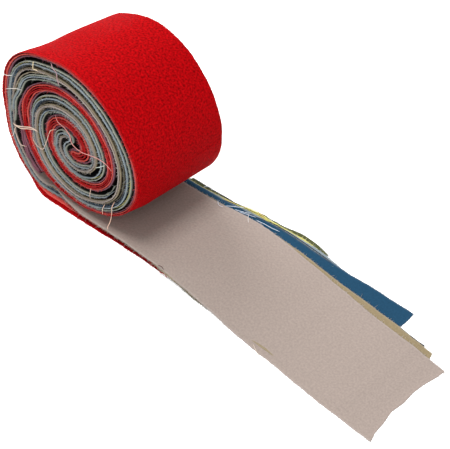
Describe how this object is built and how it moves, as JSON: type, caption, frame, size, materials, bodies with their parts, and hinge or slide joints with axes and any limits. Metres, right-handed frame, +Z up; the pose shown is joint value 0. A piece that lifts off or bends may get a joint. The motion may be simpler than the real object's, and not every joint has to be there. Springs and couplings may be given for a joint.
{
  "type": "roll of cotton fabric strips",
  "caption": "Wound roll of folded cotton strips lying on its side, with the loose ends drawn out flat in a staggered fan from beneath it.",
  "frame": {"origin": "on the surface it lies on, beneath the roll's middle and half way across the strips' width", "axes": "+Z up; +X the way the loose ends run from the roll; +Y along the roll's axis, away from the end face that the picture shows"},
  "size_m": [0.2879, 0.0845, 0.1043],
  "materials": {
    "roll": "plain woven cotton, matt",
    "strip_red": "plain woven cotton, matt",
    "strip_pale": "plain woven cotton, matt",
    "strip_blue": "plain woven cotton, matt",
    "strip_khaki": "plain woven cotton, matt",
    "strip_taupe": "plain woven cotton, matt"
  },
  "bodies": {
    "root": {"roll": "roll", "strip_red": "strip_red", "strip_pale": "strip_pale", "strip_blue": "strip_blue", "strip_khaki": "strip_khaki", "strip_taupe": "strip_taupe"}
  },
  "joints": []
}
